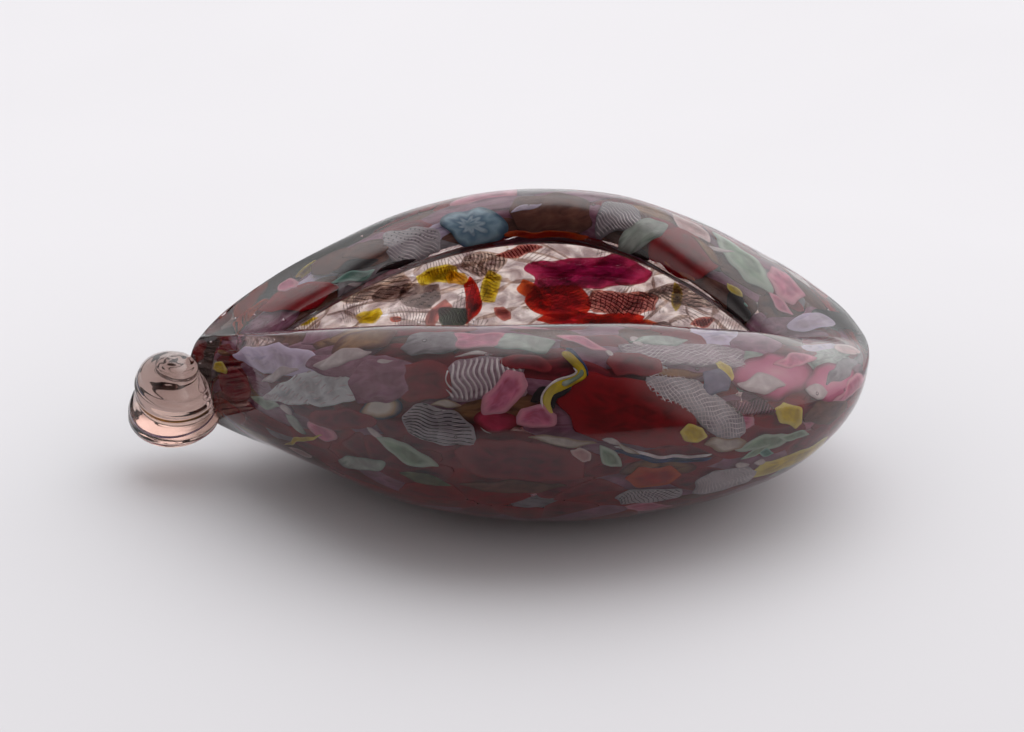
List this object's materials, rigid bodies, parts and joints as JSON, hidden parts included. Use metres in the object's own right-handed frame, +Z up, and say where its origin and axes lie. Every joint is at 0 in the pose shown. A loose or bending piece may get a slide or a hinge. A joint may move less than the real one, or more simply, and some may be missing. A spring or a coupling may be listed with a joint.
{
  "type": "art glass bowl",
  "caption": "Free-standing cased glass bowl folded up on two long sides into a shell form, with inlaid coloured and net-patterned slices and one end pulled out and coiled.",
  "frame": {"origin": "centre of the flat ground base, on the surface that the bowl stands on", "axes": "+X along the bowl, away from the coiled tail and towards the round end; +Y across the bowl; +Z up"},
  "size_m": [0.3051, 0.202, 0.095],
  "materials": {
    "clear_casing_glass": "clear, faintly amethyst, fire polished",
    "gather_glass": "clear inner gather, fire polished",
    "tail_glass": "pale pink-brown, drawn and coiled",
    "ochre_thread": "opaque ochre thread",
    "ruby_glass": "deep ruby, part opaque",
    "scarlet_glass": "scarlet and orange-red, part opaque",
    "magenta_glass": "magenta, translucent",
    "rose_glass": "rose and pink opaline",
    "green_glass": "sage green opaline",
    "yellow_glass": "opaque yellow",
    "amber_glass": "amber and brown, streaked",
    "pale_glass": "pale blue, grey and lavender opaline",
    "net_cane": "clear cane with white threads",
    "flower_cane": "patterned cane slices with a centre and ring"
  },
  "bodies": {
    "root": {"outer_casing": "clear_casing_glass", "inner_gather": "gather_glass", "tail_coil": "tail_glass", "coil_thread": "ochre_thread", "ruby_tip": "ruby_glass", "pale_blue_fan": "pale_glass", "lavender_sheet": "pale_glass", "green_tip": "green_glass", "rose_fleck": "rose_glass", "amber_streak": "amber_glass", "cream_eye_slice": "flower_cane", "green_leaf_shard": "green_glass", "grey_sheet": "pale_glass", "striped_cane_slice": "net_cane", "herringbone_cane_slice": "net_cane", "rose_streak": "rose_glass", "rose_shard": "rose_glass", "white_rose_chip": "rose_glass", "garnet_panel": "ruby_glass", "pale_blue_streak": "pale_glass", "pink_shard": "rose_glass", "wave_cane": "yellow_glass", "sage_chip": "green_glass", "ruby_panel": "ruby_glass", "blue_line_cane": "pale_glass", "orange_shard": "scarlet_glass", "net_cane_ribbon": "net_cane", "yellow_chip": "yellow_glass", "net_cane_sheet": "net_cane", "low_lattice_slice": "net_cane", "lattice_slice": "net_cane", "green_chip": "green_glass", "pink_eye_slice": "flower_cane", "yellow_shard": "yellow_glass", "amber_edge_shard": "amber_glass", "pink_slice": "flower_cane", "yellow_green_chip": "yellow_glass", "white_filigree_slice": "net_cane", "grey_lattice_slice": "net_cane", "yellow_lattice_slice": "yellow_glass", "green_lattice_slice": "net_cane", "red_shard": "scarlet_glass", "white_lattice_slice": "net_cane", "yellow_net_slice": "yellow_glass", "scarlet_panel": "scarlet_glass", "magenta_panel": "magenta_glass", "rose_lattice_slice": "net_cane", "cream_lattice_slice": "net_cane", "crimson_fold_shard": "ruby_glass", "brick_fold_shard": "amber_glass", "net_fold_slice": "net_cane", "blue_flower_slice": "flower_cane", "mauve_fold_sheet": "amber_glass", "dark_lattice_slice": "net_cane", "sage_fold_shard": "green_glass", "ruby_fold_panel": "ruby_glass", "green_fold_shard": "green_glass", "pink_fold_shard": "rose_glass"}
  },
  "joints": []
}
